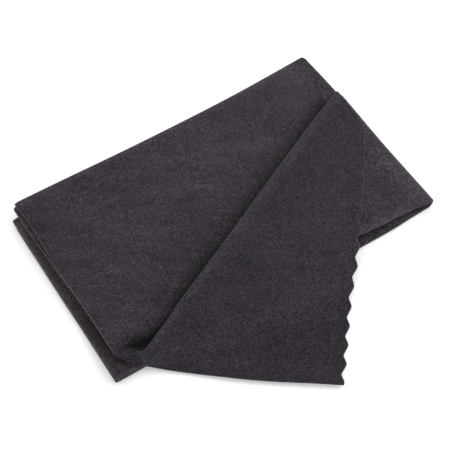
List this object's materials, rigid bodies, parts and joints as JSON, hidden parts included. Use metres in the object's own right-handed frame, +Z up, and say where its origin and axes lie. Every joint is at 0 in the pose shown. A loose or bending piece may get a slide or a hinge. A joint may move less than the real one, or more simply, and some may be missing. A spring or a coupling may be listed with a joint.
{
  "type": "cue polishing cloth",
  "caption": "Dark charcoal suede-like polishing cloth, folded in thirds and then in half, with one pinked corner of its top layer turned over the front.",
  "frame": {"origin": "middle of the bottom panel's underside, on the table", "axes": "+X along the long side towards the right-hand fold, +Y towards the back fold, +Z up"},
  "size_m": [0.157, 0.1412, 0.012],
  "materials": {
    "suede": "matt napped suede microfibre, dark charcoal"
  },
  "bodies": {
    "lower_half": {"bottom_panel": "suede", "lower_front_fold": "suede", "lower_middle_panel": "suede", "lower_back_fold": "suede", "lower_tucked_panel": "suede", "inner_end_fold": "suede", "middle_end_fold": "suede", "outer_end_fold": "suede"},
    "upper_half": {"upper_tucked_panel": "suede", "upper_back_fold": "suede", "upper_middle_panel": "suede", "upper_front_fold": "suede", "top_panel": "suede", "corner_roll": "suede"},
    "turned": {"turned_corner": "suede"}
  },
  "joints": [
    {"name": "half_open", "type": "hinge", "parent": "lower_half", "child": "upper_half", "pos_m": [0.07705, 0, 0.0028], "axis": [0, 1, 0], "range_deg": [0, 175], "deforming": ["inner_end_fold", "middle_end_fold", "outer_end_fold"]},
    {"name": "corner_turn", "type": "hinge", "parent": "upper_half", "child": "turned", "pos_m": [0.01188, -0.00691, 0.00819], "axis": [-0.9151, -0.4017, 0.0336], "range_deg": [0, 170], "deforming": ["corner_roll"]}
  ]
}
